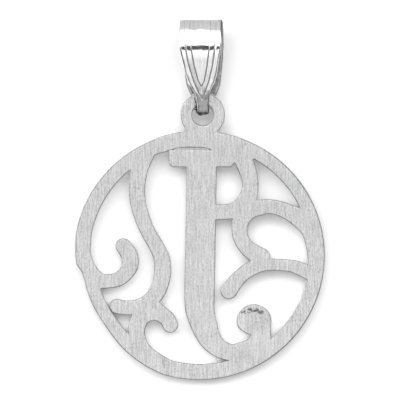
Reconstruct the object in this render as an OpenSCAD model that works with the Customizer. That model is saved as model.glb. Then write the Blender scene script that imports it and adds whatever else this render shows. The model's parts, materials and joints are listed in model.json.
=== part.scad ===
// Initial pendant: a pierced disc with a letter among scrolls, hung from a fluted bail.
// It lies on a surface with its front down and its back up, as it rests by itself.
// +X is to the right seen from the back, +Y runs from the disc to the bail and +Z is up.

/* [Disc] */
// Diameter of the disc
disc_d = 19; // [16:0.5:26]
// Thickness of the plate
plate_t = 1; // [0.8:0.05:1.2]
// Width of the rim
rim_w = 1.09; // [0.9:0.01:1.5]
// How far the hole in the rim lies to the right of the disc's centre
rim_shift = 0.1; // [0:0.01:0.2]
// How far the same hole lies above the disc's centre
rim_rise = 0.04; // [0:0.01:0.1]
// Depth of the flat stretch in the rim's outer edge
flat_out = 0.62; // [0.1:0.01:0.7]
// Depth of the same stretch in the rim's inner edge
flat_in = 0.38; // [0.1:0.01:0.6]

/* [Letter] */
// Width of the letter's stem
stem_w = 2.24; // [1.8:0.01:2.6]
// Height of the serif across the stem's top
serif_h = 1.29; // [1:0.01:1.6]
// Radius of the serif's lower corner
serif_r = 0.38; // [0.1:0.01:0.5]
// Diameter of the ball that ends the hook
ball_d = 2.58; // [2.2:0.01:2.9]
// Height of the crescent slot between the serif and the rim
slot_h = 0.32; // [0.15:0.01:0.4]

/* [Scrolls] */
// Width of the scroll bands
scroll_w = 1.15; // [0.9:0.01:1.4]

/* [Eyelet] */
// Outer diameter of the eyelet
eyelet_d = 3.3; // [3:0.05:4]
// Diameter of the eyelet's hole
hole_d = 1.7; // [1.6:0.02:2]
// Distance from the disc's edge out to the centre of the hole
eyelet_reach = 1.24; // [1:0.01:1.5]
// How far the eyelet stands to the right of the disc's centre
eyelet_shift = 0.31; // [-0.5:0.01:0.5]
// Width of the neck between the eyelet and the rim
neck_w = 2.1; // [1.6:0.05:2.6]

/* [Bail] */
// Width of the strap over the fold
bail_w = 3.2; // [2.6:0.05:4]
// Distance from the hinge line to the centre of the fold
bail_len = 4.05; // [3.4:0.05:6]
// Outer radius of the fold
fold_r = 2.05; // [1.8:0.05:2.6]
// Thickness of the strap
strap_t = 0.36; // [0.3:0.01:0.45]
// Width of the tongue that goes through the eyelet
tongue_w = 0.94; // [0.7:0.02:1]
// Width of the strap where the front leg covers the eyelet
front_w = 1.96; // [1.4:0.02:2.2]
// Clearance between the tongue and the corners of the eyelet's ring as the bail swings
swing_gap = 0.1; // [0.06:0.01:0.2]
// Width of the grooves
groove_w = 0.12; // [0.08:0.01:0.2]
// Depth of the grooves
groove_d = 0.1; // [0.05:0.01:0.15]
// Radius of the solder bead that closes the loop
solder_r = 0.25; // [0.2:0.01:0.27]
// How far the loose bail leans over to one side as it lies
bail_roll = 3; // [0:0.5:6]
// How far the loose bail is turned to the left as it lies
bail_yaw = 1.5; // [-5:0.1:5]

/* [Hidden] */

$fn = 120;
steps = 6;          // pieces between two rows of a smoothed table
slack = 0.5;        // how far a cutting shape runs past what it cuts

disc_r = disc_d / 2;
hole_r = hole_d / 2;
eyelet_r = eyelet_d / 2;
inner_r = disc_r - rim_w;
eyelet_y = disc_r + eyelet_reach;

// The bar is the part of the eyelet's ring that the bail goes round: the hinge line is its middle.
// The hole is round, so the tongue's edges meet more of the bar than the tongue's middle does.
bar_w = eyelet_r - hole_r;
hinge_y = eyelet_y + hole_r + bar_w / 2;
bar_reach = bar_w / 2 + hole_r - sqrt(hole_r * hole_r - tongue_w * tongue_w / 4);
loop_in_r = norm([bar_reach, plate_t / 2]) + swing_gap;
loop_out_r = loop_in_r + strap_t;

// The bail lies on the flat of its front leg, so its middle line climbs from the loop to the fold.
bail_climb = asin((fold_r - loop_out_r) / bail_len);
leg_spread = bail_climb;
roll_lift = bail_w / 2 * sin(bail_roll);
hinge_z = loop_out_r + roll_lift;

// The plate rests on its far edge and hangs on the hinge line, which tilts it a little.
hinge_from_edge = norm([hinge_y + disc_r, plate_t / 2]);
disc_tilt = asin(hinge_z / hinge_from_edge) - atan2(plate_t / 2, hinge_y + disc_r);
disc_z = disc_r * sin(disc_tilt);
hinge_world_y = hinge_y * cos(disc_tilt) - plate_t / 2 * sin(disc_tilt);

// Flat stretch of the rim: the angle, and the inset there as a share of its full depth. It starts
// and ends a little outside the round edge, so that it crosses it.
FLAT = [
    [165, -0.1], [175, 0.13], [180, 0.2], [184, 0.3], [187, 0.72], [190, 0.95], [195, 1],
    [205, 0.97], [213, 0.98], [220, 0.9], [230, 0.58], [238, 0.36], [246, 0.16], [257, -0.1],
];

// Bands, from one end to the other: place as shares of disc_r, and width as a share of the
// band's named width.
STEM = [
    [0.023, 0.85, 1], [0.021, 0.6, 1], [0.015, 0.2, 1], [0.008, -0.2, 1], [0.006, -0.38, 0.99],
    [0.015, -0.467, 0.945], [0.046, -0.569, 0.865], [0.096, -0.67, 0.8], [0.172, -0.748, 0.67],
    [0.264, -0.78, 0.585], [0.352, -0.761, 0.575], [0.424, -0.717, 0.54], [0.48, -0.641, 0.54],
];
LEFT_SCROLL = [
    [-0.4, 0.861, 1.06], [-0.442, 0.764, 1.03], [-0.478, 0.668, 1.06], [-0.492, 0.548, 1.01],
    [-0.486, 0.435, 1], [-0.456, 0.315, 0.97], [-0.403, 0.186, 0.92], [-0.338, 0.074, 0.95],
    [-0.297, -0.022, 1.02], [-0.289, -0.127, 1.07], [-0.302, -0.215, 1.05],
    [-0.336, -0.302, 1.01], [-0.4, -0.372, 0.96], [-0.484, -0.412, 0.93],
    [-0.576, -0.424, 0.92], [-0.654, -0.412, 0.93],
];
FOOT = [
    [-0.424, -0.4, 1], [-0.474, -0.504, 1.06], [-0.498, -0.609, 1.05], [-0.478, -0.713, 1.06],
    [-0.42, -0.793, 1.03], [-0.32, -0.858, 0.93], [-0.216, -0.898, 0.73], [-0.104, -0.93, 0.66],
];
LOWER_CURL = [
    [-0.432, -0.408, 1.72], [-0.392, -0.424, 1.52], [-0.36, -0.442, 1.32], [-0.328, -0.459, 1.15],
    [-0.288, -0.484, 1.03], [-0.248, -0.52, 0.99], [-0.229, -0.563, 0.98],
];
LEFT_CURL = [
    [-0.932, 0.122, 0.9], [-0.924, -0.006, 1], [-0.868, -0.131, 1], [-0.792, -0.203, 0.96],
    [-0.71, -0.207, 0.88], [-0.637, -0.19, 0.91], [-0.576, -0.135, 0.96], [-0.549, -0.071, 1.08],
    [-0.557, 0.006, 1.06], [-0.603, 0.075, 0.99],
];
BOWL = [
    [0.3, 0.88, 1.25], [0.348, 0.787, 1.17], [0.392, 0.676, 1.1], [0.411, 0.572, 1],
    [0.385, 0.467, 1], [0.332, 0.395, 1], [0.268, 0.36, 0.99], [0.192, 0.349, 0.97], [0.1, 0.349, 0.97],
];
RIGHT_SCROLL = [
    [0.37, 0.72, 0.9], [0.41, 0.595, 1.02], [0.404, 0.483, 1.06], [0.376, 0.387, 1.12],
    [0.34, 0.29, 1.1], [0.326, 0.199, 0.98], [0.342, 0.13, 0.98], [0.384, 0.066, 1.01], [0.444, 0.018, 1.12],
    [0.496, -0.017, 1.24],
];
UPPER_ARM = [
    [0.352, 0.371, 1.06], [0.456, 0.381, 1.03], [0.56, 0.393, 0.92], [0.648, 0.377, 0.94],
    [0.728, 0.342, 1], [0.804, 0.283, 0.99], [0.876, 0.194, 0.86], [0.914, 0.066, 0.86],
    [0.928, -0.055, 0.86], [0.924, -0.2, 0.86],
];
LOWER_ARM = [
    [0.928, -0.16, 1], [0.832, -0.117, 0.89], [0.736, -0.085, 0.78], [0.597, -0.075, 0.75],
    [0.496, -0.08, 0.85], [0.41, -0.114, 0.93], [0.334, -0.17, 0.91], [0.27, -0.246, 1],
    [0.242, -0.286, 1.06],
];

// Places as shares of disc_r.
serif_left = -0.237;
serif_right = 0.256;
serif_top = 0.85;
serif_cut = 0.29;       // where the serif's slanted right end meets the bowl
slot_left = -0.26;
slot_right = 0.115;
ball_place = [0.444, -0.534];
ball_neck = [0.432, 0.578, -0.53, -0.777];
// Pocket cut into the ball's lower left, where the hook's inner edge runs up beside it.
BALL_POCKET = [
    [0.43, -0.64], [0.409, -0.636], [0.378, -0.627], [0.35, -0.61], [0.322, -0.582],
    [0.29, -0.55], [0.29, -0.72], [0.42, -0.72],
];

// Round inner corners: centre of the round as a share of disc_r, its radius as a share of the
// scroll's width, first and last angle, and a place inside the metal that it is filled from.
ROUNDS = [
    [[-0.356, -0.597], 0.61, 60, 180, [-0.448, -0.456]],
    [[0.5, 0.21], 0.92, 95, 185, [0.36, 0.347]],
];

// Strap, seen from the back: distance from the hinge line as a share of bail_len, then half
// widths as shares of half of bail_w, with the tongue and the front leg's point set by name.
BACK_LEG = [
    [0.15, 0.37], [0.28, 0.485], [0.37, 0.56], [0.61, 0.755], [0.89, 0.89], [1.09, 0.975],
    [1.3, 1], [1.8, 1],
];
FRONT_LEG = [[0.14, 0.8], [0.32, 0.865], [0.6, 0.95], [0.87, 1], [1.3, 1], [1.8, 1]];
// Where the tongue starts to widen on the back, and where it widens to the front leg, as shares
// of the loop's inner radius from the hinge line.
back_widens = -0.33;
front_widens = [-0.62, -0.15];
// Grooves: distance as above, then the places of the outer and inner groove of each side.
OUTER_GROOVE = [
    [0.09, 0], [0.19, 0.135], [0.45, 0.363], [0.76, 0.55], [1.04, 0.66], [1.3, 0.74], [1.8, 0.76],
];
INNER_GROOVE = [[0.33, 0], [0.45, 0.14], [0.76, 0.3], [1.04, 0.403], [1.3, 0.48], [1.8, 0.5]];

// One place on the smooth curve through b and c.
function curve_at(a, b, c, d, t) =
    b + (c - a) * t / 2
    + (2 * a - 5 * b + 4 * c - d) * t * t / 2
    + (3 * b - a - 3 * c + d) * t * t * t / 2;

// All places along the smooth curve through a table's rows.
function smooth(rows) = let (last = len(rows) - 1) concat(
    [for (i = [0 : last - 1]) for (k = [0 : steps - 1])
        curve_at(rows[max(i - 1, 0)], rows[i], rows[i + 1], rows[min(i + 2, last)], k / steps)],
    [rows[last]]
);

function backwards(list) = [for (i = [len(list) - 1 : -1 : 0]) list[i]];
function polar(r, angle) = [r * cos(angle), r * sin(angle)];

// Left and right edge of a band at one place of its smoothed table.
function side_of(rows, i, side) =
    let (before = rows[max(i - 1, 0)])
    let (after = rows[min(i + 1, len(rows) - 1)])
    let (way = [after.x - before.x, after.y - before.y])
    [rows[i].x, rows[i].y] + side * rows[i].z / 2 * [-way.y, way.x] / norm(way);

function edge_of(rows, side) = [for (i = [0 : len(rows) - 1]) side_of(rows, i, side)];

// Places on an arc, from its first angle to its last.
function arc(centre, r, first, last) =
    [for (i = [0 : 2 * steps]) centre + polar(r, first + (last - first) * i / (2 * steps))];

// A flat shape as a piece of the plate, or cut right through it.
module plate() {
    linear_extrude(plate_t)
        children();
}

module cut() {
    translate([0, 0, -slack])
        linear_extrude(plate_t + 2 * slack)
            children();
}

// A band along a table's smooth curve, whose last end can be round.
module band(table, width, round_end = false) {
    rows = smooth([for (row = table) [row.x * disc_r, row.y * disc_r, row.z * width]]);
    last = len(rows) - 1;
    way = rows[last] - rows[last - 1];
    ahead = atan2(way.y, way.x);
    tip = arc([rows[last].x, rows[last].y], rows[last].z / 2, ahead + 90, ahead - 90);
    plate()
        polygon(concat(edge_of(rows, 1), round_end ? tip : [], backwards(edge_of(rows, -1))));
}

// Area between the rim's edge at radius r and the flat stretch set into it by depth.
module flat_stretch(r, depth, margin) {
    rows = smooth(FLAT);
    polygon(concat(
        [for (row = rows) polar(r - depth * row.y, row.x)],
        [for (row = backwards(rows)) polar(r + margin, row.x)]
    ));
}

module rim() {
    difference() {
        cylinder(h = plate_t, r = disc_r);
        translate([rim_shift, rim_rise, -slack])
            cylinder(h = plate_t + 2 * slack, r = inner_r);
    }
    translate([rim_shift, rim_rise, 0])
        plate()
            flat_stretch(inner_r, flat_in, rim_w / 2);
}

// Serif across the stem's top, with a rounded lower left corner and a slanted right end.
module serif() {
    left = serif_left * disc_r;
    right = serif_right * disc_r;
    top = serif_top * disc_r;
    low = top - serif_h;
    in_rim = inner_r + rim_w / 2;
    plate()
        polygon(concat(
            arc([left + serif_r, low + serif_r], serif_r, 180, 270),
            [
                [right, low], [serif_cut * disc_r, low + serif_r], [serif_cut * disc_r, in_rim],
                [left + serif_h, in_rim], [left + serif_h, top], [left, top],
            ]
        ));
}

// Crescent between the serif's straight top and an arc above it.
module slot() {
    half = (slot_right - slot_left) * disc_r / 2;
    arc_r = (half * half + slot_h * slot_h) / (2 * slot_h);
    turn = asin(half / arc_r);
    centre = [(slot_left + slot_right) * disc_r / 2, serif_top * disc_r + slot_h - arc_r];
    cut()
        polygon(arc(centre, arc_r, 90 - turn, 90 + turn));
}

module letter() {
    band(STEM, stem_w);
    serif();
    difference() {
        translate(ball_place * disc_r)
            cylinder(h = plate_t, d = ball_d);
        cut()
            polygon(BALL_POCKET * disc_r);
    }
    translate([ball_neck[0], ball_neck[3]] * disc_r)
        plate()
            square([ball_neck[1] - ball_neck[0], ball_neck[2] - ball_neck[3]] * disc_r);
}

module scrolls() {
    band(LEFT_SCROLL, scroll_w, round_end = true);
    band(FOOT, scroll_w);
    band(LOWER_CURL, scroll_w, round_end = true);
    band(LEFT_CURL, scroll_w, round_end = true);
    band(BOWL, scroll_w);
    band(RIGHT_SCROLL, scroll_w, round_end = true);
    band(UPPER_ARM, scroll_w);
    band(LOWER_ARM, scroll_w, round_end = true);
    for (corner = ROUNDS)
        plate()
            polygon(concat(
                [corner[4] * disc_r],
                arc(corner[0] * disc_r, corner[1] * scroll_w, corner[2], corner[3])
            ));
}

module eyelet() {
    translate([eyelet_shift, eyelet_y, 0])
        cylinder(h = plate_t, r = eyelet_r);
    translate([-neck_w / 2, inner_r + rim_w / 2])
        plate()
            square([neck_w, eyelet_y - inner_r - rim_w / 2]);
}

// The pierced plate as it is before it lies down, with the disc's centre at the origin.
module pierced_plate() {
    difference() {
        union() {
            rim();
            letter();
            scrolls();
            eyelet();
        }
        cut()
            flat_stretch(disc_r, flat_out, slack);
        slot();
        translate([eyelet_shift, eyelet_y, -slack])
            cylinder(h = plate_t + 2 * slack, r = hole_r);
    }
}

// Middle of the box round the whole pendant, which stands over the origin.
left_x = min([for (row = smooth(FLAT)) (disc_r - flat_out * row.y) * cos(row.x)]);
low_y = -disc_r * cos(disc_tilt) - plate_t * sin(disc_tilt);
fold_slant = cos(bail_roll) * sin(bail_yaw) - sin(bail_roll) * sin(bail_climb) * cos(bail_yaw);
fold_y = hinge_world_y + bail_len * cos(bail_climb) * cos(bail_yaw);
high_y = fold_y + fold_r * sqrt(1 - fold_slant * fold_slant) + bail_w / 2 * abs(fold_slant);
middle = [(left_x + disc_r) / 2, (low_y + high_y) / 2];

module initial_disc() {
    color("silver")
        translate([-middle.x, -middle.y, disc_z])
            rotate([disc_tilt, 0, 0])
                pierced_plate();
}

// Outline of the strap loop seen from its side: two circles and the straight legs between them,
// with the hinge line at the origin and the fold along +X.
module loop_side(loop_r, end_r) {
    circle(loop_r);
    translate([bail_len, 0])
        circle(end_r);
    polygon([
        polar(loop_r, 90 + leg_spread), polar(loop_r, -90 - leg_spread),
        [bail_len, 0] + polar(end_r, -90 - leg_spread), [bail_len, 0] + polar(end_r, 90 + leg_spread),
    ]);
}

// A shape seen from the side, carried across the whole width of the bail.
module across_bail() {
    rotate([90, 0, 90])
        linear_extrude(bail_w + 2 * slack, center = true)
            children();
}

// Outline of the strap seen from the back, from half widths at distances from the hinge line.
module strap_outline(tip_rows, table) {
    rows = concat(tip_rows, smooth([for (row = table) [row.x * bail_len, row.y * bail_w / 2]]));
    polygon(concat(
        [for (row = rows) [row.y, row.x]],
        [for (row = backwards(rows)) [-row.y, row.x]]
    ));
}

// One groove line seen from the back, on the side of the bail that side names.
module groove_line(table, side) {
    rows = smooth([for (row = table) [side * row.y * bail_w / 2, row.x * bail_len, groove_w]]);
    polygon(concat(edge_of(rows, 1), backwards(edge_of(rows, -1))));
}

module groove_pattern() {
    for (side = [-1, 1]) {
        groove_line(OUTER_GROOVE, side);
        groove_line(INNER_GROOVE, side);
    }
}

// The strap's loop as it is before it lies down: hinge line on X, fold along +Y, back leg up.
module strap_loop() {
    reach = loop_out_r + slack;
    deep = fold_r + slack;
    tongue = [-reach, tongue_w / 2];
    back_tip = [tongue, [back_widens * loop_in_r, tongue_w / 2]];
    front_tip = [
        tongue, [front_widens[0] * loop_in_r, tongue_w / 2], [front_widens[1] * loop_in_r, front_w / 2],
    ];
    difference() {
        intersection() {
            difference() {
                across_bail()
                    loop_side(loop_out_r, fold_r);
                across_bail()
                    loop_side(loop_in_r, fold_r - strap_t);
            }
            union() {
                linear_extrude(deep)
                    strap_outline(back_tip, BACK_LEG);
                translate([0, 0, -deep])
                    linear_extrude(deep)
                        strap_outline(front_tip, FRONT_LEG);
            }
        }
        difference() {
            translate([0, 0, -deep])
                linear_extrude(2 * deep)
                    groove_pattern();
            across_bail()
                loop_side(loop_out_r - groove_d, fold_r - groove_d);
        }
    }
}

// Solder bead under the tongue, where the two ends of the strap meet inside the hole.
module solder_bead() {
    translate([0, solder_r / 3 - loop_out_r, 0])
        sphere(solder_r, $fn = 32);
}

module bail() {
    color("gainsboro")
        translate([eyelet_shift - middle.x, hinge_world_y - middle.y, hinge_z])
            rotate([bail_climb, 0, bail_yaw])
                rotate([0, -bail_roll, 0]) {
                    strap_loop();
                    solder_bead();
                }
}

initial_disc();
bail();
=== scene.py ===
"""Looks of the initial pendant: a satin pierced plate and a polished fluted bail, lying on a pale surface.

Lengths are in millimetres in the arrays and in metres in the meshes, in the pendant's own frame: +X to the
right seen from the back, +Y from the disc to the bail, +Z up, and the surface at z = 0.
"""

import json
import math

import bpy
import numpy as np
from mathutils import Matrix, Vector, geometry


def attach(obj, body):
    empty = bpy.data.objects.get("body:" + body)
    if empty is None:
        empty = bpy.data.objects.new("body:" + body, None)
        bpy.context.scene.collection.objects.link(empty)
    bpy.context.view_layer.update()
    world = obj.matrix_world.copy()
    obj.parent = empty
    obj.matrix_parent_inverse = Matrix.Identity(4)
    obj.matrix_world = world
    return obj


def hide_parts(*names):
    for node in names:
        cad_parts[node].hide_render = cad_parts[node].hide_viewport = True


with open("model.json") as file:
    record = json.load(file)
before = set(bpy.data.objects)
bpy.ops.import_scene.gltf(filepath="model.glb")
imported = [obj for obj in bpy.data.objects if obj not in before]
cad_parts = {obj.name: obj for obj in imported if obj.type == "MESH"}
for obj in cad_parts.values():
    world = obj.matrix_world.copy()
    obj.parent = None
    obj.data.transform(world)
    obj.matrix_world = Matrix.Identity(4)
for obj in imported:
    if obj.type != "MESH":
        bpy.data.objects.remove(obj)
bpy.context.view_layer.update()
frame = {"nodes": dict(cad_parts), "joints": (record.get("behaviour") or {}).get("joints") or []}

MM = 0.001
TINY = 1e-12
plate_node = frame["nodes"]["initial_disc"]
hinge = np.array(frame["joints"][0]["pos_m"]) / MM


# Camera: almost overhead, a little towards the bail, far away through a long lens

VIEW_TILT = math.radians(5)
VIEW_DISTANCE = 0.5         # metres, and so are the next three
VIEW_CENTRE = Vector((0.00004, -0.00003, 0.0014))
VIEW_WIDTH = 0.03037
VIEW_CLIP = (0.01, 10)
SENSOR = 36                 # millimetres

camera_data = bpy.data.cameras.new("camera")
camera_data.sensor_width = SENSOR
camera_data.lens = SENSOR * VIEW_DISTANCE / VIEW_WIDTH
camera_data.clip_start, camera_data.clip_end = VIEW_CLIP
camera = bpy.data.objects.new("camera", camera_data)
camera.location = VIEW_CENTRE + Vector((0, math.sin(VIEW_TILT), math.cos(VIEW_TILT))) * VIEW_DISTANCE
camera.rotation_euler = (-VIEW_TILT, 0, 0)
bpy.context.collection.objects.link(camera)
bpy.context.scene.camera = camera


# Shader maths

class Val:
    """A number, colour or vector that a shader works out, so that shader sums are written as sums."""

    def __init__(self, tree, socket):
        self.tree = tree
        self.socket = socket

    def node(self, kind, settings=None, sockets=None, output=0):
        """Adds one node: its settings first, then the values or links of its sockets.

        The setting stops is a ramp's: places from 0 to 1 in order, the first at 0, each with its brightness.
        """
        made = self.tree.nodes.new(kind)
        for name, value in (settings or {}).items():
            if name == "stops":
                set_stops(made.color_ramp.elements, value)
            else:
                setattr(made, name, value)
        for name, value in (sockets or {}).items():
            if isinstance(value, Val):
                self.tree.links.new(value.socket, made.inputs[name])
            else:
                made.inputs[name].default_value = value
        return Val(self.tree, made.outputs[output])

    def maths(self, operation, *values):
        return self.node("ShaderNodeMath", {"operation": operation}, dict(enumerate(values)))

    def __add__(self, other):
        return self.maths("ADD", self, other)

    __radd__ = __add__

    def __sub__(self, other):
        return self.maths("SUBTRACT", self, other)

    def __rsub__(self, other):
        return self.maths("SUBTRACT", other, self)

    def __mul__(self, other):
        return self.maths("MULTIPLY", self, other)

    __rmul__ = __mul__

    def __abs__(self):
        return self.maths("ABSOLUTE", self)

    def between(self, kind, low, high, first, last):
        span = {"Value": self, "From Min": low, "From Max": high, "To Min": first, "To Max": last}
        return self.node("ShaderNodeMapRange", {"interpolation_type": kind}, span)

    def step(self, low, high, first=0.0, last=1.0):
        """First below low, last above high, and a smooth way between them."""
        return self.between("SMOOTHSTEP", low, high, first, last)

    def line(self, low, high, first=0.0, last=1.0):
        """First below low, last above high, and a straight way between them."""
        return self.between("LINEAR", low, high, first, last)

    def dimmed(self, depth):
        """1 where this is 0, and less by depth where this is 1."""
        return self.line(0, 1, 1.0, 1 - depth)

    def vector(self, operation, *values, output=0):
        return self.node("ShaderNodeVectorMath", {"operation": operation}, dict(enumerate(values)), output)

    def axis(self, number):
        """One of the three numbers of a vector."""
        return self.node("ShaderNodeSeparateXYZ", {}, {0: self}, number)


def set_stops(elements, stops):
    """Gives a new ramp its stops: place, and how bright it is there."""
    elements.remove(elements[1])
    for number, (place, bright) in enumerate(stops):
        element = elements.new(place) if number else elements[0]
        element.position = place
        element.color = (bright, bright, bright, 1)


def coordinates(tree, kind):
    """Coordinates of one kind, as the first value of a shader."""
    return Val(tree, tree.nodes.new("ShaderNodeTexCoord").outputs[kind])


def new_material(name):
    """A metal, its Principled shader, and the Object coordinates in millimetres as a Val."""
    material = bpy.data.materials.new(name)
    material.use_nodes = True
    shader = material.node_tree.nodes["Principled BSDF"]
    shader.inputs["Metallic"].default_value = 1.0
    place = coordinates(material.node_tree, "Object")
    return material, shader, place.vector("MULTIPLY", place, (1 / MM, 1 / MM, 1 / MM))


def feed(shader, name, value):
    shader.id_data.links.new(value.socket, shader.inputs[name])


def attribute(place, name):
    return place.node("ShaderNodeAttribute", {"attribute_name": name}, {}, "Fac")


def noise(place, scale, detail=2.0, rough=0.5):
    """Noise from 0 to 1 about 0.5 that changes scale times in a millimetre along each axis."""
    where = place.vector("MULTIPLY", place, scale)
    return place.node(
        "ShaderNodeTexNoise", {}, {"Vector": where, "Scale": 1.0, "Detail": detail, "Roughness": rough},
    )


def relief(height, strength, distance, **sockets):
    """A bump from a height, whose range stands for a distance in metres."""
    bump = {"Strength": strength, "Distance": distance, "Height": height, **sockets}
    return height.node("ShaderNodeBump", {}, bump)


def spot(place, x, y, wide, high):
    """1 in the middle of an oval spot on the back, 0 outside it."""
    away = place.vector("SUBTRACT", place, (x, y, 0))
    flat = away.vector("MULTIPLY", away, (1 / wide, 1 / high, 0))
    return flat.vector("LENGTH", flat, output="Value").step(0.0, 1.0, 1.0, 0.0)


# Satin silver of the plate. A noise's numbers are how often it changes in a millimetre along each axis.

BRUSH_LINES = (11, 0.7, 0.7)
BRUSH_GRAIN = (12, 5.5, 5.5)
BRUSH_ROUGH = 0.6
MOTTLE = (0.9, 0.6, 0.6)
TONE = (0.46, 0.42, 0.12)   # what the lines, the grain and the mottle give to the tone
TONE_SPAN = (0.37, 0.63)    # tones of the darkest and the lightest silver
SATIN_DARK = 0.51
SATIN_LIGHT = 1.0
GLOSS_SPAN = (0.35, 0.65)   # tones of the dullest and the glossiest silver
SATIN_GLOSS = (0.38, 0.3)   # and how rough both are
BRUSH_HEIGHT = (0.55, 0.45)  # what the lines and the grain give to the relief
BRUSH_RELIEF = (0.35, 0.00001)  # its strength, and its depth in metres
WALL_PAINTED_LIGHT = 0.3           # painted light: how much brighter the cut walls are painted
WALL_GLOSS = 0.18           # and how much less rough
EDGE_PAINTED_SHADE = 0.62            # painted shade: how much darker the dark line painted along the worn edges is
EDGE_ROUGH = 0.25           # and how much rougher
# Marks on the plate: x, y, half width, half height, and how much darker.
MARKS = [
    (-4.63, 0.86, 0.12, 0.1, 0.7), (3.48, 4.24, 0.1, 0.16, 0.5), (4.36, 1.2, 0.08, 0.2, 0.4),
    (-0.75, 6.86, 0.08, 0.07, 0.6), (0.83, 7.49, 0.1, 0.1, 0.5), (-2.77, -12.6, 0.05, 0.5, 0.3),
]
# Patches of dark pits, given as the marks are. The last three lie along the ball's upper edge.
ROUGH_PATCHES = [
    (7.0, -9.2, 0.5, 0.5, 0.22), (-2.6, -12.45, 0.4, 0.4, 0.22), (-5.05, -11.26, 0.5, 0.4, 0.22),
    (3.5, -8.62, 0.55, 0.22, 0.8), (4.1, -8.42, 0.75, 0.26, 0.85), (4.75, -8.62, 0.5, 0.26, 0.7),
]
PATCH_SOFT = 0.6            # share of a patch over which it fades
PITS = (7.5, 8.5, 8)
PIT_SPAN = (0.45, 0.53)     # noise between which a pit begins
SLOT_PAINTED_GLOW = 0.3            # painted glow on the cut walls in the crescent slot, for light that would come back up between its close walls
SLOT_SPOT = (-1.0, 4.0, 3.2, 0.6)  # the oval the glow is in: x, y, half width, half height
SLOT_SOFT = 0.4             # share of the oval over which it fades


def satin_silver():
    """Satin plate: fine brush lines along the stem over fine grain, with marks and patches of pits.

    The lines, the grain and a broad mottle add up to one tone, which gives the colour and the gloss. A mark
    darkens its oval, and a patch the pits in its oval. A dark line of painted shade runs along the worn
    edges, painted light makes the cut walls brighter, and the walls in the crescent slot get a painted glow.
    """
    material, shader, place = new_material("satin_silver")
    lines = noise(place, BRUSH_LINES, rough=BRUSH_ROUGH)
    grain = noise(place, BRUSH_GRAIN, rough=BRUSH_ROUGH)
    tone = TONE[0] * lines + TONE[1] * grain + TONE[2] * noise(place, MOTTLE)
    base = tone.line(*TONE_SPAN, SATIN_DARK, SATIN_LIGHT)
    for x, y, wide, high, depth in MARKS:
        base = base * spot(place, x, y, wide, high).dimmed(depth)
    pits = noise(place, PITS, detail=1.0).step(*PIT_SPAN)
    for x, y, wide, high, depth in ROUGH_PATCHES:
        base = base * (spot(place, x, y, wide, high).step(0, PATCH_SOFT) * pits).dimmed(depth)
    edge = attribute(place, "edge")
    wall = attribute(place, "wall")
    # Painted shade darkens the worn edges in a line, and painted light brightens the cut walls.
    feed(shader, "Base Color", base * (1.0 - edge * EDGE_PAINTED_SHADE + wall * WALL_PAINTED_LIGHT))
    feed(shader, "Roughness", tone.line(*GLOSS_SPAN, *SATIN_GLOSS) + edge * EDGE_ROUGH - wall * WALL_GLOSS)
    # A painted glow: the cut walls in the crescent slot's oval glow.
    shader.inputs["Emission Strength"].default_value = SLOT_PAINTED_GLOW
    feed(shader, "Emission Color", wall * spot(place, *SLOT_SPOT).step(0, SLOT_SOFT))
    feed(shader, "Normal", relief(BRUSH_HEIGHT[0] * lines + BRUSH_HEIGHT[1] * grain, *BRUSH_RELIEF))
    return material


# Polished silver of the bail

POLISH_LINES = (9, 1.2, 1.2)
POLISH_HAZE = (2.2, 1.6, 1.6)
POLISH_TONE = (0.6, 0.4)    # what the lines and the haze give to the tone
POLISH_SPAN = (0.35, 0.65)  # tones of the darkest and the lightest silver
POLISH_COLOUR = (0.85, 0.97)
HAZE_SPAN = (0.3, 0.7)      # haze of the glossiest and the dullest silver
HAZE_GLOSS = (0.08, 0.14)   # and how rough both are
POLISH_HEIGHT = (0.5, 0.5)  # what the lines and the haze give to the fine relief
POLISH_RELIEF = (0.2, 0.00001)
WAVES = (1.3, 1.3, 1.3)     # the strap's slight unevenness
WAVES_RELIEF = (1.0, 0.00004)
SOOT = (7, 7, 7)            # dark grains near the soldered end
SOOT_SPAN = (0.3, 0.6)      # noise of the darkest and the lightest soot
SOOT_DARK = (0.85, 0.5)     # and how much darker the silver is under both
SOLDER_ROUGH = 0.35         # how much rougher it is where it is soldered
DULL_AND_SHADE_DARK = 0.6             # how much darker the silver is where it is fully dull or in full painted shade
DULL_ROUGH = 0.25           # and how much rougher


def polished_silver():
    """Polished bail: a mirror with faint lines along the strap, duller and darker at the soldered end.

    A slight unevenness bends its reflections, except on the flat tongue. Where the attribute dull
    rises the silver gets darker and rougher: duller there, and darkened by painted shade in its grooves, on
    its right edge and inner side, at the fold, along the tongue and on some fields.
    """
    material, shader, place = new_material("polished_silver")
    lines = noise(place, POLISH_LINES, detail=3.0, rough=0.6)
    haze = noise(place, POLISH_HAZE)
    solder = attribute(place, "solder")
    dull = attribute(place, "dull")
    base = (POLISH_TONE[0] * lines + POLISH_TONE[1] * haze).line(*POLISH_SPAN, *POLISH_COLOUR)
    soot = solder * noise(place, SOOT, detail=3.0, rough=0.7).step(*SOOT_SPAN, *SOOT_DARK)
    # Painted shade: where dull rises, the silver is painted darker as well as made rougher.
    feed(shader, "Base Color", base * (1.0 - soot) * (1.0 - dull * DULL_AND_SHADE_DARK))
    feed(shader, "Roughness", haze.line(*HAZE_SPAN, *HAZE_GLOSS) + solder * SOLDER_ROUGH + dull * DULL_ROUGH)
    fine = relief(POLISH_HEIGHT[0] * lines + POLISH_HEIGHT[1] * haze, *POLISH_RELIEF)
    uneven = (noise(place, WAVES, detail=1.0) - 0.5) * (1.0 - attribute(place, "tongue"))
    feed(shader, "Normal", relief(uneven, *WAVES_RELIEF, Normal=fine))
    return material


# Burnt solder

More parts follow.
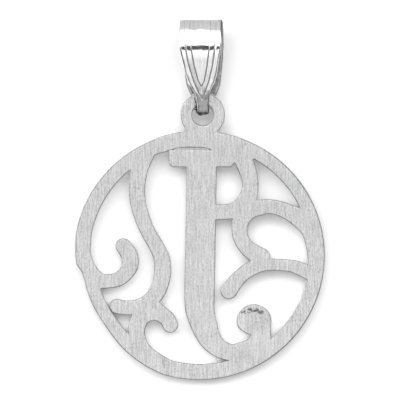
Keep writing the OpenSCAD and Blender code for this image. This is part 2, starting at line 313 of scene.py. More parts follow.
SOLDER_GRAIN = (9, 9, 9)
SOLDER_SPAN = (0.45, 0.7)   # noise of the darkest and the brightest grains
SOLDER_COLOUR = (0.08, 0.7)
SOLDER_GLOSS_SPAN = (0.4, 0.7)
SOLDER_GLOSS = (0.5, 0.25)  # how rough the dark and the bright grains are
SOLDER_RELIEF = (0.8, 0.00004)


def burnt_solder():
    """Dark rough solder with a few bright grains."""
    material, shader, place = new_material("burnt_solder")
    grain = noise(place, SOLDER_GRAIN, detail=3.0, rough=0.7)
    feed(shader, "Base Color", grain.step(*SOLDER_SPAN, *SOLDER_COLOUR))
    feed(shader, "Roughness", grain.line(*SOLDER_GLOSS_SPAN, *SOLDER_GLOSS))
    feed(shader, "Normal", relief(grain, *SOLDER_RELIEF))
    return material


# Meshes

def unit(vectors):
    return vectors / np.maximum(np.linalg.norm(vectors, axis=-1, keepdims=True), TINY)


def make_piece(name, points, faces, material, body, slot, normals=None, **attributes):
    """A piece from points in millimetres and faces as rows of point numbers, shaded smooth."""
    mesh = bpy.data.meshes.new(name)
    mesh.from_pydata((points * MM).tolist(), [], [face for group in faces for face in group.tolist()])
    mesh.polygons.foreach_set("use_smooth", np.ones(len(mesh.polygons), bool))
    for key, values in attributes.items():
        mesh.attributes.new(key, "FLOAT", "POINT").data.foreach_set("value", values.astype(np.float32))
    mesh.materials.append(material)
    if normals is not None:
        mesh.normals_split_custom_set_from_vertices(normals.tolist())
    piece = bpy.data.objects.new(name, mesh)
    bpy.context.collection.objects.link(piece)
    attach(piece, body)
    return piece


def ring_faces(rows, columns, closed_rows=True):
    """Quads of a grid whose columns close, and whose rows close too where closed_rows says so."""
    row, column = np.meshgrid(np.arange(rows if closed_rows else rows - 1), np.arange(columns), indexing="ij")
    row, column = row.ravel(), column.ravel()
    here, under, beside = row * columns, (row + 1) % rows * columns, (column + 1) % columns
    return np.stack([here + column, here + beside, under + beside, under + column], 1)


# Plate

EDGE_ROUND = 0.1            # radius of the plate's worn edges
EDGE_STEPS = 6
EDGE_ROOM = 0.7             # share of a curve's own radius that the worn edge may take
ROOM_PASSES = 3
SAME_PLACE = 0.0002         # the CAD's points that are closer than this are one
UPWARD = 0.99               # a face whose normal rises more than this looks up
SAME_WAY = 0.9999           # and is on the plate's upper face if its normal is this close to the plate's
OUTLINE_STEP = 0.06         # distance between the outline's points
CORNER = math.radians(24)   # a sharper turn of the outline is a corner
LIKE_LENGTHS = 1.6          # two pieces of one curve are no more unlike in length
SHORT_EDGE = 0.045          # a shorter edge of the outline is left out
FOLD_EDGE = 0.16            # and so is one no longer than this where the outline folds back on itself
FOLD_TURN = math.radians(100)
SMOOTH = 60                 # passes that even out the outline
SMOOTH_IN, SMOOTH_OUT = 0.5, -0.51
HOLD_TURNS = math.radians(25), math.radians(60)  # turns between which a corner is held more and more
SOFTEN = 2                  # passes that soften the outline's corners
GROW = 0.035                # how far the outline moves out all round
RIM_MIDDLE = (0, -4.3)
RIM_RADIUS = 9.0            # the disc's rim lies further from its middle than this
RIM_TOP = 4.7               # and below this
RIM_SHIFT = (0.045, -0.04)  # how far the rim moves over
# The crescent slot's upper edge: places from left to right, how far it moves down there, the heights it is
# between, and how far down it faces.
SLOT_X = (-3.6, -3.1, -2.4, -0.2, 0.3, 0.9, 1.2)
SLOT_DOWN = (0, 0.04, 0.11, 0.1, 0.03, 0.02, 0)
SLOT_Y = (3.3, 4.7)
SLOT_FACING = -0.3
# Small moves of the outline: their middle on the plate, their reach, and how far right and up it moves there.
NUDGES = [
    (3.74, -10.19, 0.9, 0.18, -0.07), (2.61, -10.91, 0.8, 0.0, -0.09), (1.78, -10.31, 1.1, -0.13, -0.09),
    (3.35, -10.67, 0.55, 0.03, -0.07), (7.77, -0.85, 0.9, -0.14, 0.28),
]
LINE_FADE = 0.5             # how fast the painted shade line along an edge fades towards the faces, as a power
SIDES_FAINT = 0.55          # how much fainter the painted shade lines are on edges that face to the sides
RIM_FAINT = 0.3             # and on the rim
FAINT_POWER = 8             # how narrowly that holds for edges that face to the sides
RIM_PAINTED_SHADE = (0.25, 0, 0.5)   # how much darker the rim's own painted shade lines are where it faces left, along and right
SMALL_TURN = 1e-6           # a straight stretch counts as turning by this
FILL_NEAR = 1e-6            # places closer than this are one where the face is filled
TEST_BATCH = 500            # about how many places are tested at one time


def merged(node):
    """Points in millimetres and triangles of a CAD node, with equal points made one."""
    mesh = node.data
    points = np.empty(len(mesh.vertices) * 3)
    mesh.vertices.foreach_get("co", points)
    points = points.reshape(-1, 3) / MM
    mesh.calc_loop_triangles()
    faces = np.empty(len(mesh.loop_triangles) * 3, int)
    mesh.loop_triangles.foreach_get("vertices", faces)
    cells = np.round(points / SAME_PLACE).astype(np.int64)
    _, first, same = np.unique(cells, axis=0, return_index=True, return_inverse=True)
    return points[first], same.reshape(-1)[faces].reshape(-1, 3)


def upper_face(points, faces):
    """Normal of the plate's upper face, its level along the normal, and the outline's directed edges.

    A triangle belongs to the face if its normal is the face's own. An edge is on the outline if no other
    triangle of the face runs along it the other way, and the metal is on its left.
    """
    ways = np.cross(points[faces[:, 1]] - points[faces[:, 0]], points[faces[:, 2]] - points[faces[:, 0]])
    normal = unit(ways[unit(ways)[:, 2] > UPWARD].sum(0))
    top = faces[unit(ways) @ normal > SAME_WAY]
    edges = np.concatenate([top[:, [0, 1]], top[:, [1, 2]], top[:, [2, 0]]])
    edges = edges[edges[:, 0] != edges[:, 1]]
    codes = edges @ [len(points), 1]
    paired = np.isin(codes, edges @ [1, len(points)])
    return normal, np.median(points[top.ravel()] @ normal), edges[~paired]


def followed(flat, edges):
    """For each edge of the outlines: the edges after and before, its way, its length, the turn at its end."""
    edge_from = np.full(len(flat), -1)
    edge_from[edges[:, 0]] = np.arange(len(edges))
    after = edge_from[edges[:, 1]]
    before = np.empty_like(after)
    before[after] = np.arange(len(edges))
    way = flat[edges[:, 1]] - flat[edges[:, 0]]
    turn = np.arctan2(np.cross(way, way[after]), (way * way[after]).sum(1))
    return after, before, way, np.linalg.norm(way, axis=1), turn


def mended(flat, edges):
    """The outlines without their shortest edges and without folds: such an edge shrinks to its middle.

    A fold is a short edge between two sharp turns, one back and one on again.
    """
    for longest, sharpest in ((SHORT_EDGE, 0), (SHORT_EDGE, 0), (FOLD_EDGE, FOLD_TURN)):
        _, before, _, length, turn = followed(flat, edges)
        gone = (length < longest) & (np.abs(turn) >= sharpest) & (np.abs(turn[before]) >= sharpest)
        gone = gone & ~gone[before]
        start, end = edges[gone].T
        flat = flat.copy()
        flat[start] = (flat[start] + flat[end]) / 2
        joined = np.arange(len(flat))
        joined[end] = start
        edges = joined[edges]
        edges = edges[edges[:, 0] != edges[:, 1]]
    return flat, edges


def fine_outline(flat, edges):
    """Smooth closed outlines through the CAD's coarse ones: places, and for each the next place's number.

    Each straight edge is bent into the arc that its neighbours of like length continue: the arc's middle
    stands off the chord by a quarter of the chord times half the turn between the edges.
    """
    after, before, way, length, turn_end = followed(flat, edges)
    ratio = np.maximum(length, length[after]) / np.minimum(length, length[after])
    alike_end = (np.abs(turn_end) < CORNER) & (ratio < LIKE_LENGTHS)
    alike_start = alike_end[before]
    turn = turn_end * alike_end + turn_end[before] * alike_start
    turn = turn / np.maximum(1, alike_end.astype(int) + alike_start)
    count = np.maximum(1, np.ceil(length / OUTLINE_STEP)).astype(int)
    first = np.concatenate([[0], np.cumsum(count)[:-1]])
    edge = np.repeat(np.arange(len(edges)), count)
    part = np.arange(len(edge)) - first[edge]
    share = (part / count[edge])[:, None]
    off = np.stack([way[:, 1], -way[:, 0]], 1)[edge]
    places = flat[edges[edge, 0]] + way[edge] * share + off * (turn[edge, None] / 2) * share * (1 - share)
    following = np.where(part + 1 < count[edge], np.arange(len(edge)) + 1, first[after[edge]])
    return places, following


def soften(places, following):
    """Evens out the outlines and gives their corners a small round: the places, and for each the one before.

    A place moves towards the middle of its two neighbours and then a little further back, time and again, so
    that waves fade and wide curves stay. Where the outline turns sharply over six steps the place is held.
    At the end each place moves a quarter of the way to both neighbours.
    """
    before = np.empty_like(following)
    before[following] = np.arange(len(following))
    ahead = places[following[following[following]]] - places
    behind = places - places[before[before[before]]]
    turn = np.abs(np.arctan2(np.cross(behind, ahead), (behind * ahead).sum(1)))
    loose = 1 - np.clip((turn - HOLD_TURNS[0]) / (HOLD_TURNS[1] - HOLD_TURNS[0]), 0, 1)[:, None]
    for _ in range(SMOOTH):
        for share in (SMOOTH_IN, SMOOTH_OUT):
            places = places + loose * share * ((places[before] + places[following]) / 2 - places)
    for _ in range(SOFTEN):
        places = places / 2 + (places[before] + places[following]) / 4
    return places, before


def facing_out(places, following, before):
    """For each place of the outlines: the step to the next one, the way out of the metal and the turn."""
    way = places[following] - places
    out = unit(np.stack([way[:, 1], -way[:, 0]], 1))
    turn = np.arcsin(np.clip(np.cross(out[before], out), -1, 1))
    return np.linalg.norm(way, axis=1), unit(out + out[before]), turn


def on_rim(places, outward):
    """Which places are on the disc's outer edge: far from its middle, facing away from it, below the neck."""
    spoke = places - RIM_MIDDLE
    far = np.linalg.norm(spoke, axis=1) > RIM_RADIUS
    return far & ((outward * spoke).sum(1) > 0) & (places[:, 1] < RIM_TOP)


def moved(places, outward):
    """The outlines a little further out, the rim moved over, the slot's upper edge lowered, and the nudges.

    A nudge is full at its middle and fades as the square of one minus the square of the share of its reach.
    """
    x, y = places.T
    rim = on_rim(places, outward)
    upper = (y > SLOT_Y[0]) & (y < SLOT_Y[1]) & (outward[:, 1] < SLOT_FACING)
    down = np.interp(x, SLOT_X, SLOT_DOWN, 0, 0) * upper
    for middle_x, middle_y, reach, right, up in NUDGES:
        away = ((x - middle_x) ** 2 + (y - middle_y) ** 2) / reach ** 2
        places = places + np.clip(1 - away, 0, 1)[:, None] ** 2 * (right, up)
    return places + outward * GROW + rim[:, None] * RIM_SHIFT - np.stack([np.zeros(len(x)), down], 1)


def inside(places, following, tests):
    """Whether each test place is in the metal: a line from it to the right crosses an odd number of edges."""
    a, b = places, places[following]
    rise = b[:, 1] - a[:, 1]
    rise = np.where(np.abs(rise) < TINY, TINY, rise)
    found = np.empty(len(tests), bool)
    for part in np.array_split(np.arange(len(tests)), max(1, len(tests) // TEST_BATCH)):
        x, y = tests[part, 0, None], tests[part, 1, None]
        spans = (a[:, 1] > y) != (b[:, 1] > y)
        crossed = a[:, 0] + (y - a[:, 1]) / rise * (b[:, 0] - a[:, 0])
        found[part] = (spans & (x < crossed)).sum(1) % 2 == 1
    return found


def filled(places, following):
    """Triangles that fill the metal between the outlines, as rows of place numbers."""
    flat_places = [Vector(place) for place in places.tolist()]
    lines = np.stack([np.arange(len(places)), following], 1).tolist()
    made = geometry.delaunay_2d_cdt(flat_places, lines, [], 0, FILL_NEAR, True)
    source = np.array([ids[0] if ids else -1 for ids in made[3]])
    triangles = source[np.array(made[2])]
    triangles = triangles[(triangles >= 0).all(1)]
    return triangles[inside(places, following, places[triangles].mean(1))]


def plate_mesh():
    """The pierced plate with worn edges: points, faces, normals, and where it is a worn edge and a cut wall.

    The outline is carried down the wall as a profile: a quarter round of radius EDGE_ROUND, the wall, and
    the quarter round again. The two faces between the profiles are flat and triangulated once. Along a worn
    edge a dark line of painted shade is strongest halfway round it, by a power of the sine of twice its tilt.
    """
    points, faces = merged(plate_node)
    normal, level, edges = upper_face(points, faces)
    thickness = level - (points @ normal).min()
    along = np.array([1.0, 0, 0])
    up_plate = np.cross(normal, along)
    flat = np.stack([points @ along, points @ up_plate], 1)
    places, following = fine_outline(*mended(flat, edges))
    places, before = soften(places, following)
    outward = facing_out(places, following, before)[1]
    places = moved(places, outward)
    step, outward, turn = facing_out(places, following, before)
    bend = np.maximum(turn, SMALL_TURN) / ((step + step[before]) / 2)
    room = np.minimum(EDGE_ROUND, EDGE_ROOM / bend)
    for _ in range(ROOM_PASSES):
        room = np.minimum(room, (room + room[before] + room[following]) / 3)

    lean = np.radians(np.linspace(0, 90, EDGE_STEPS + 1))
    inset = np.concatenate([1 - np.sin(lean), 1 - np.sin(lean[::-1])])
    quarter = EDGE_ROUND * (1 - np.cos(lean))
    drop = np.concatenate([quarter, thickness - quarter[::-1]])
    tilt = np.concatenate([lean, np.pi - lean[::-1]])
    ring = places[None] - outward[None] * (inset[:, None] * room[None])[:, :, None]
    solid = ring[:, :, :1] * along + ring[:, :, 1:] * up_plate + (level - drop)[:, None, None] * normal
    facing = outward[:, :1] * along + outward[:, 1:] * up_plate
    normals = np.sin(tilt)[:, None, None] * facing + np.cos(tilt)[:, None, None] * normal

    count = len(places)
    rows = np.arange(len(drop) - 1)[:, None] * count
    here, there = np.arange(count)[None] + rows, following[None] + rows
    walls = np.stack([here, here + count, there + count, there], -1).reshape(-1, 4)
    upper = filled(ring[0], following)
    under = upper[:, ::-1] + (len(drop) - 1) * count

    # Painted shade: the dark line along the worn edges, its strength set by which way each edge faces.
    aside = outward[:, 0]
    sides = aside ** FAINT_POWER
    rim_line = (1 - RIM_FAINT * sides) * (1 + np.interp(aside, (-1, 0, 1), RIM_PAINTED_SHADE))
    line = np.where(on_rim(places, outward), rim_line, 1 - SIDES_FAINT * sides)
    edge = (np.abs(np.sin(2 * tilt)) ** LINE_FADE)[:, None] * line
    wall = np.repeat(np.isclose(tilt, np.pi / 2).astype(float), count)
    return solid.reshape(-1, 3), [walls, upper, under], normals.reshape(-1, 3), edge.ravel(), wall


# Bail

BAIL_LEN = 4.05             # from the hinge line to the middle of the fold
HALF_WIDTH = 1.6
BAIL_CLIMB = math.radians(12.1552)  # how steeply it climbs towards its fold
BAIL_YAW = math.radians(1.5)  # how far it is turned
BAIL_ROLL = math.radians(3)  # and how far it leans over

# Corners of the lying loop's outer and inner outline seen from its side, from the end of the back leg over
# the fold, the front leg and the tongue: place past the hinge line, height over it, radius of the round,
# and how many stations are on the line before the round and on the round.
LOOP_OUT = [
    (3.629, 2.9535, 2.03, 40, 26), (5.225, 2.772, 2.95, 2, 44), (6.086, 1.9376, 0.12, 2, 10),
    (5.79, -1.197, 2.05, 12, 40), (-0.888, -1.197, 0.45, 60, 10), (-1.073, 0.566, 0.2, 14, 8),
    (0.789, 1.669, 11.8, 26, 24),
]
LOOP_IN = [
    (3.687, 2.585, 1.69), (5.04, 2.431, 2.4), (5.7135, 1.7985, 0.1), (5.4648, -0.837, 1.69),
    (-0.658, -0.8375, 0.25), (-0.913, 0.4376, 0.12), (0.955, 1.3495, 11.8),
]
FRONT_FROM = 2              # corner after which the front leg's widths hold
BACK_FROM = 5               # and the one after which the back leg's hold again
BACK_EARLY = 10             # stations before that corner's end

# Tables along a leg. Each row starts with the place past the hinge line, as a share of the bail's length.
# Widths and grooves are shares of the strap's half width.
BACK_LEG = [
    (-2, 0.294), (-0.0683, 0.294), (0.15, 0.37), (0.28, 0.485), (0.37, 0.56), (0.61, 0.755), (0.89, 0.89),
    (1.09, 0.975), (1.3, 1), (1.8, 1),
]
FRONT_LEG = [
    (-2, 0.294), (-0.128, 0.294), (-0.031, 0.612), (0.14, 0.8), (0.32, 0.865), (0.6, 0.95), (0.87, 1),
    (1.3, 1), (1.8, 1),
]
OUTER_GROOVE = [
    (0.055, 0), (0.19, 0.135), (0.45, 0.363), (0.76, 0.55), (1.04, 0.66), (1.3, 0.74), (1.8, 0.76),
]
INNER_GROOVE = [(0.33, 0), (0.45, 0.14), (0.76, 0.3), (1.04, 0.403), (1.3, 0.48), (1.8, 0.5)]
GROOVE_DEPTH = 0.032
GROOVE_HALF = 0.024
GROOVE_START = 0.03         # share of the length over which a groove begins
GROOVE_FADE = (1.1, 1.45)   # the grooves get shallow between these places, by GROOVE_WORN
GROOVE_WORN = 0.85
MARK_WORN = 0.4             # how much fainter their painted dark lines get there
CROWN_WORN = 0.5            # and how much flatter the fields
CROWNS = [0.06, 0.4, 0.5]   # rise of the middle, second and outer fields, per square of their width
CROWN_FROM = 0.4            # the crowns are full where the outer groove is this far from the middle
STRAP_EDGE = 0.07           # radius of the strap's edges
STRAP_STEPS = 3
# The strap's flanks turn down towards its edges: width and drop at the left, width and drop at the right.
FLANKS = [
    (-2, 0.2, 0.13, 0.08, 0.03), (0.1, 0.2, 0.13, 0.08, 0.03), (0.3, 0.2, 0.04, 0.12, 0.05),
    (1.0, 0.2, 0.035, 0.12, 0.05), (1.25, 0.1, 0.015, 0.06, 0.01), (1.8, 0.1, 0.015, 0.06, 0.01),
]
FLANK_TURN = 1.15           # how fast a flank turns down, as a power
INNER_FLANK = (0.25, 0.035)  # width and drop of the inner side's flanks
UNDER_FROM = (-0.2, -1.1)   # heights between which the front leg's crowns sink to the leg's own level
ACROSS = 180                # columns across the strap's outer side
ACROSS_IN = 24

LEFT_SHADE_DULL = 0.05            # how dull the strap's left edge is, on the lit side, with little painted shade
EDGE_SHADE_DULL = 0.7             # and its right edge, painted dark as the side turned from the light
INNER_SHADE_DULL = (0.1, 0.6)     # and its inner side, at the left and at the right, with more painted shade on the right
FOLD_SHADE_DULL = 0.9             # how much duller the right edge and the inner side are at the fold, with deeper painted shade there
TONGUE_SHADE_DULL = 0.7           # and how much duller the tongue's edges are, painted dark as shade beside the eyelet
TONGUE_TOP = (0.34, 0.1)    # place where the tongue's dullness ends, and over how far it fades
TONGUE_FLAT = (0.26, 0.12)  # and the same for its flatness
TONGUE_LINE = (0.2, 0.03, 0.7)  # its painted dark line: distance from its left edge, width, and how dull and dark it is
TONGUE_SKIRT = (0.1, 1.4)   # its painted shadow along the left border, for the gap beside it: width, and how dull and dark it is
# Fields of the back leg painted darker, as painted shade in their reflections, and made duller: how much for
# the left second, the middle and the right second fields.
FIELD_SHADE_DULL = [
    (0.2, 0, 0, 0), (0.3, 0.42, 0.12, 0.22), (0.58, 0.42, 0.12, 0.22), (0.7, 0.42, 0, 0), (0.95, 0, 0, 0),
]
FIELD_SOFT = 0.06           # over how far a field's painted shade and dullness fade at its borders
# The soldered place: its height, how far up and down it reaches, and the place past the hinge line that it
# stays short of.
SEAM = (0.4, 0.65, -0.7)

# Lumps of solder: middle, then half sizes, in the pendant's frame.
SOLDER = [
    (0.30, 6.60, 1.25, 0.40, 0.13, 0.42), (0.08, 6.52, 1.2, 0.2, 0.14, 0.3),
    (0.62, 6.68, 1.4, 0.12, 0.12, 0.25), (-0.3, 6.95, 1.72, 0.12, 0.14, 0.12),
    (-0.12, 6.7, 1.5, 0.12, 0.16, 0.2), (-0.3, 7.72, 2.28, 0.1, 0.13, 0.12),
    (-0.28, 7.5, 2.14, 0.07, 0.12, 0.1), (-0.28, 7.2, 1.95, 0.08, 0.13, 0.1),
]
LUMP_ROWS = 24
LUMP_COLUMNS = 32
LUMP_WAVE = 0.09            # height of a wave on a lump, as a share of its radius


def columns_at(table, y):
    """A table's columns after the first, one number per station, at distances y from the hinge line."""
    rows = np.array(table)
    return [np.interp(y / BAIL_LEN, rows[:, 0], column)[:, None] for column in rows[:, 1:].T]


def table_at(table, y):
    """A table's second column, times the strap's half width, at distances y from the hinge line."""
    return columns_at(table, y)[0][:, 0] * HALF_WIDTH


def turning(axis, angle):
    """Matrix that turns points by an angle about one of the frame's axes."""
    first, second = (axis + 1) % 3, (axis + 2) % 3
    matrix = np.eye(3)
    matrix[first, first] = matrix[second, second] = math.cos(angle)
    matrix[first, second] = -math.sin(angle)
    matrix[second, first] = math.sin(angle)
    return matrix


def placed(local):
    """The bail's own places turned as it lies: leaned about Y, climbing about X, turned about Z."""
    return local @ (turning(2, BAIL_YAW) @ turning(0, BAIL_CLIMB) @ turning(1, -BAIL_ROLL)).T + hinge


def loop_path(corners, counts):
    """Closed side outline of the strap: (y, z) of each station before the bail lies down.

    Each corner between two straight lines is rounded by an arc that starts and ends where it touches them.
    """
    knots = np.array([corner[:2] for corner in corners]) @ turning(0, BAIL_CLIMB)[1:, 1:]
    way = unit(knots - np.roll(knots, 1, 0))
    onward = np.roll(way, -1, 0)
    half = np.arctan2(np.abs(np.cross(way, onward)), (way * onward).sum(1)) / 2
    radius = np.array([corner[2] for corner in corners])
    reach = (radius * np.tan(half))[:, None]
    begin, end = knots - way * reach, knots + onward * reach
    parts = []
    for i, (on_line, on_round) in enumerate(counts):
        share = np.linspace(0, 1, on_line, endpoint=False)[:, None]
        parts.append(end[i - 1] + (begin[i] - end[i - 1]) * share)
        bend = 2 * half[i] * np.linspace(0, 1, on_round, endpoint=False)[:, None]
        spoke = radius[i] * np.array([-way[i, 1], way[i, 0]])
        parts.append(begin[i] - spoke + spoke * np.cos(bend) + way[i] * radius[i] * np.sin(bend))
    return np.concatenate(parts)


def grooved(x, y, lines):
    """How far into a groove each place of the outer side is, from 0 to 1: a bell curve about each line."""
    depth = np.zeros_like(x)
    for line, table in zip(lines, (INNER_GROOVE, OUTER_GROOVE)):
        begun = np.clip((y / BAIL_LEN - table[0][0]) / GROOVE_START + 0.5, 0, 1)[:, None]
        for side in (-1, 1):
            away = (x - side * line[:, None]) / GROOVE_HALF
            depth = np.maximum(depth, np.exp(-away * away) * begun)
    return depth


def crown(x, half, lines):
    """How far the strap's outer side stands up between its grooves.

    In each field it is a rise times the product of the distances to the field's two borders. The tongue has
    no fields, and is flat.
    """
    inner, outer, edge = lines[0][:, None], lines[1][:, None], half[:, None]
    size = np.abs(x)
    fields = [
        (inner - size) * (inner + size),
        (outer - size) * (size - inner),
        (edge - size) * (size - outer),
    ]
    crowned = sum(rise * np.maximum(field, 0) for rise, field in zip(CROWNS, fields))
    return crowned * np.clip(outer / CROWN_FROM, 0, 1)


def flank(x, half, y):
    """How far the outer side is turned down near its edges: a drop times a power of the way to the edge."""
    wide_left, drop_left, wide_right, drop_right = columns_at(FLANKS, y)
    left = np.clip((-x - half[:, None] + wide_left) / wide_left, 0, 1)
    right = np.clip((x - half[:, None] + wide_right) / wide_right, 0, 1)
    return drop_left * left ** FLANK_TURN + drop_right * right ** FLANK_TURN


def field_dull(x, lines, y):
    """How much duller and darker with painted shade the fields between the grooves are: each field's own
    amount, fading towards its borders.
    """
    left, middle, right = columns_at(FIELD_SHADE_DULL, y)
    from_inner, from_outer = np.abs(x) - lines[0][:, None], lines[1][:, None] - np.abs(x)
    second = np.clip(from_inner / FIELD_SOFT, 0, 1) * np.clip(from_outer / FIELD_SOFT, 0, 1)
    return second * np.where(x < 0, left, right) + np.clip(-from_inner / FIELD_SOFT, 0, 1) * middle


def bail_mesh():
    """The strap loop: points, faces, where it is soldered, how much duller and darker with painted shade it
    is, and where it is the flat tongue.

    Each station of the side path carries one closed cross section: the outer side from left to right, the
    rounded right edge, the inner side back, and the left edge. A point's depth is its share of the way from
    the outer path to the inner one. The outer side sinks into its grooves, rises between them as flat crowns
    and turns down at its flanks.
    """
    counts = [corner[3:] for corner in LOOP_OUT]
    outer, inner = loop_path(LOOP_OUT, counts), loop_path(LOOP_IN, counts)
    y = outer[:, 0]
    rows = len(outer)
    station = np.arange(rows)
    reached = np.cumsum([sum(count) for count in counts])
    back = (station < reached[FRONT_FROM]) | (station >= reached[BACK_FROM] - BACK_EARLY)
    half = np.where(back, table_at(BACK_LEG, y), table_at(FRONT_LEG, y))
    thick = np.linalg.norm(outer - inner, axis=1)[:, None]

    lean = np.radians(np.linspace(0, 90, STRAP_STEPS + 1))
    flat = (half - STRAP_EDGE)[:, None]
    across_in = np.linspace(1, -1, ACROSS_IN)
    outer_x = np.linspace(-1, 1, ACROSS)[None] * flat
    inner_x = across_in[None] * flat
    outward = flat + STRAP_EDGE * np.sin(lean[1:])[None]
    back_in = flat + STRAP_EDGE * np.sin(lean[::-1][:-1])[None]
    x = np.concatenate([outer_x, outward, back_in, inner_x, -outward, -back_in], 1)
    columns = x.shape[1]
    right_edge = slice(ACROSS, ACROSS + 2 * STRAP_STEPS)
    inner_side = slice(right_edge.stop, right_edge.stop + ACROSS_IN)
    left_edge = slice(inner_side.stop, columns)

    lines = [table_at(INNER_GROOVE, y), table_at(OUTER_GROOVE, y)]
    groove = grooved(outer_x, y, lines)
    worn = np.clip((y / BAIL_LEN - GROOVE_FADE[0]) / (GROOVE_FADE[1] - GROOVE_FADE[0]), 0, 1)[:, None]
    rise = crown(outer_x, half, lines) * (1 - CROWN_WORN * worn)
    under = np.clip((outer[:, 1] - UNDER_FROM[0]) / (UNDER_FROM[1] - UNDER_FROM[0]), 0, 1)[:, None]
    depth = GROOVE_DEPTH * groove * (1 - GROOVE_WORN * worn) - rise + rise.max(1, keepdims=True) * under
    rounded = np.broadcast_to(STRAP_EDGE * (1 - np.cos(lean[1:])), (rows, STRAP_STEPS))
    inner_wide, inner_drop = INNER_FLANK
    inward = np.clip((np.abs(inner_x) - half[:, None] + inner_wide) / inner_wide, 0, 1)
    depths = np.concatenate([
        depth + flank(outer_x, half, y),
        rounded + flank(x[:, ACROSS:ACROSS + STRAP_STEPS], half, y),
        thick - rounded[:, ::-1] - inner_drop,
        thick - inner_drop * inward ** 2,
        thick - rounded - inner_drop,
        rounded[:, ::-1] + flank(x[:, columns - STRAP_STEPS:], half, y),
    ], 1)
    share = (depths / thick)[:, :, None]
    side = outer[:, None] * (1 - share) + inner[:, None] * share
    local = np.concatenate([x[:, :, None], side], 2).reshape(-1, 3)

    tongue = np.clip((TONGUE_TOP[0] - y / BAIL_LEN) / TONGUE_TOP[1], 0, 1)[:, None] * back[:, None]
    # Painted shade on the tongue: a dark line along it and a painted shadow at its left border.
    from_left = outer_x + half[:, None]
    bent = (from_left - TONGUE_LINE[0]) / TONGUE_LINE[1]
    skirt = np.clip(1 - from_left / TONGUE_SKIRT[0], 0, 1)
    tongue_dull = tongue * np.maximum(TONGUE_LINE[2] * np.exp(-bent * bent), TONGUE_SKIRT[1] * skirt)
    fields_dull = field_dull(outer_x, lines, y) * back[:, None]
    dull = np.zeros_like(x)
    # Painted shade on the outer side: dark lines in the grooves, darker fields, the tongue's line and border.
    dull[:, :ACROSS] = np.maximum(np.maximum(groove * (1 - MARK_WORN * worn), fields_dull), tongue_dull)
    # Painted shade: the right edge and the inner side are painted darker, more at the right and the fold.
    dull[:, right_edge] = EDGE_SHADE_DULL + FOLD_SHADE_DULL * worn + TONGUE_SHADE_DULL * tongue
    dull[:, inner_side] = np.interp(across_in, (-1, 1), INNER_SHADE_DULL) + FOLD_SHADE_DULL * worn
    dull[:, left_edge] = LEFT_SHADE_DULL + (EDGE_SHADE_DULL - LEFT_SHADE_DULL + TONGUE_SHADE_DULL) * tongue
    height, up_down, end = SEAM
    seam = np.clip(1 - np.abs(side[:, :, 1] - height) / up_down, 0, 1) * (side[:, :, 0] < end)
    flat_tongue = np.clip((TONGUE_FLAT[0] - y / BAIL_LEN) / TONGUE_FLAT[1], 0, 1)[:, None]
    flat_tongue = np.broadcast_to(flat_tongue, x.shape)
    return placed(local), ring_faces(rows, columns), seam.ravel(), dull.ravel(), flat_tongue.ravel()


def solder_mesh():
    """Lumps of solder where the strap's ends meet: spheres drawn out along each axis, with uneven skins.

    A skin's height is its radius times one plus a few waves over its angles.
    """
    down = np.linspace(0, np.pi, LUMP_ROWS + 2)[1:-1]
    round_angle = np.linspace(0, 2 * np.pi, LUMP_COLUMNS, endpoint=False)
    high, wide = np.meshgrid(down, round_angle, indexing="ij")
    count = LUMP_ROWS * LUMP_COLUMNS
    column = np.arange(LUMP_COLUMNS)
    beside = (column + 1) % LUMP_COLUMNS
    last = count - LUMP_COLUMNS
    grid = ring_faces(LUMP_ROWS, LUMP_COLUMNS, False)[:, ::-1]
    top = np.stack([np.full(LUMP_COLUMNS, count), column, beside], 1)
    bottom = np.stack([np.full(LUMP_COLUMNS, count + 1), last + beside, last + column], 1)
    way = np.stack([np.sin(high) * np.cos(wide), np.sin(high) * np.sin(wide), np.cos(high)], -1)
    points, quads, caps = [], [], []
    for number, (x, y, z, *size) in enumerate(SOLDER):
        wave = np.sin(3 * wide + 5 * high + number) + np.sin(5 * wide - 4 * high + 2 * number)
        wave = wave + np.sin(7 * high + number)
        skin = way * (1 + LUMP_WAVE * wave * np.sin(high))[..., None]
        skin = np.concatenate([skin.reshape(-1, 3), [[0, 0, 1], [0, 0, -1]]])
        points.append(skin * size + (x, y, z))
        quads.append(grid + number * (count + 2))
        caps.append(np.concatenate([top, bottom]) + number * (count + 2))
    return np.concatenate(points), [np.concatenate(quads), np.concatenate(caps)]


# The pieces

points, faces, normals, edge, wall = plate_mesh()
plate = make_piece(
    "pierced_plate", points, faces, satin_silver(), "disc", "satin_silver", normals, edge=edge, wall=wall,
)
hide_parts("initial_disc")

points, faces, seam, dull, tongue = bail_mesh()
strap = make_piece(
    "bail_strap", points, [faces], polished_silver(), "bail", "polished_silver",
    solder=seam, dull=dull, tongue=tongue,
)
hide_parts("bail")

points, faces = solder_mesh()
make_piece("solder", points, faces, burnt_solder(), "bail", "polished_silver")


# Stage

FLOOR_HALF = 1.5            # half the floor's width, in metres
PAPER_WHITE = 0.86
PAPER_ROUGH = 0.9
PAPER_SHINE = 0.1
PAPER_GLOW = 0.06           # a small glow of its own, which lightens the shadows

corners = [(side * FLOOR_HALF, end * FLOOR_HALF, 0) for side, end in ((-1, -1), (1, -1), (1, 1), (-1, 1))]
floor_mesh = bpy.data.meshes.new("floor")
floor_mesh.from_pydata(corners, [], [(0, 1, 2, 3)])
floor = bpy.data.objects.new("floor", floor_mesh)
bpy.context.collection.objects.link(floor)
paper = bpy.data.materials.new("paper")
paper.use_nodes = True
paper_inputs = paper.node_tree.nodes["Principled BSDF"].inputs
paper_inputs["Base Color"].default_value = (PAPER_WHITE, PAPER_WHITE, PAPER_WHITE, 1)
paper_inputs["Roughness"].default_value = PAPER_ROUGH
paper_inputs["Specular IOR Level"].default_value = PAPER_SHINE
paper_inputs["Emission Color"].default_value = (1, 1, 1, 1)
paper_inputs["Emission Strength"].default_value = PAPER_GLOW
floor_mesh.materials.append(paper)


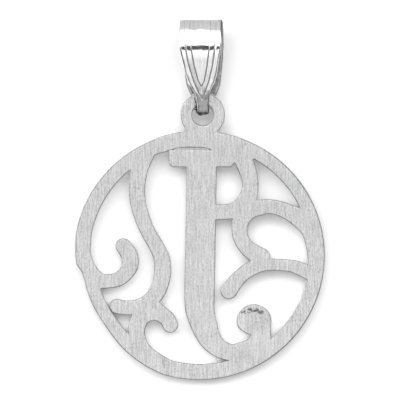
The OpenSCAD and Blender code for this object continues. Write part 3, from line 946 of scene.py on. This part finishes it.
# Studio

# Brightness of the sky: angles from straight up towards the bail's end, in degrees, and how bright it is.
SKY = [
    (-90, 0.3), (-66.5, 0.25), (-65.2, 0.37), (-64, 0.62), (-60, 0.76), (-50, 0.86), (-32, 1.0), (-26, 1.25),
    (9, 1.25), (15, 1.3), (19, 4.6), (40, 4.6), (44, 1.35), (53, 1.2), (57, 0.62), (90, 0.54),
]
SKY_TOP = 4.6               # the most of these
SKY_GAIN = 1.09             # how much brighter the whole sky is made
# Each side of the sky: the ways aside between which it changes, and the share that is left at its end.
# A way aside is the sine of the angle to the right.
LEFT_SKY = (-0.9, -0.3, 0.8)
RIGHT_SKY = (0.35, 0.85, 0.2)
# The camera's dark place overhead: its angle and half height in degrees, and its half width aside.
LENS_GAP = (-2.0, 9.5, 0.34)
LENS_SOFT = (0.8, 0.03, 0.05)  # how soft its borders are: in degrees, and aside inwards and outwards
LENS_DARK = 0.06            # share of the sky's brightness that is left there
FRONT = (-15, 5)            # angles between which the sky over the pendant's foot begins
FRONT_SIDES = (0.32, 0.6)   # ways to either side between which it gets darker
FRONT_DIM = 0.15            # to this share

world = bpy.data.worlds.new("studio")
bpy.context.scene.world = world
world.use_nodes = True
background = world.node_tree.nodes["Background"]
background.inputs["Color"].default_value = (1, 1, 1, 1)
way = coordinates(world.node_tree, "Generated")
angle = way.maths("ARCTAN2", way.axis(1), way.axis(2)) * (180 / math.pi)
aside = way.axis(0)
stops = [((degrees + 90) / 180, bright / SKY_TOP) for degrees, bright in SKY]
bright = angle.node("ShaderNodeValToRGB", {"stops": stops}, {"Fac": (angle + 90) * (1 / 180)}) * SKY_TOP
front = angle.step(*FRONT, 1.0, 0.0) * abs(aside).step(*FRONT_SIDES)
sideways = aside.step(*LEFT_SKY, 1.0) * aside.step(*RIGHT_SKY[:2], 1.0, RIGHT_SKY[2])
sideways = sideways * front.line(0, 1, 1.0, FRONT_DIM)
lens = abs(angle - LENS_GAP[0]).step(LENS_GAP[1] - LENS_SOFT[0], LENS_GAP[1] + LENS_SOFT[0], 1.0, 0.0)
lens = lens * abs(aside).step(LENS_GAP[2] - LENS_SOFT[1], LENS_GAP[2] + LENS_SOFT[2], 1.0, 0.0)
feed(background, "Strength", bright * sideways * lens.line(0, 1, SKY_GAIN, SKY_GAIN * LENS_DARK))

bpy.context.scene.view_settings.view_transform = "Standard"
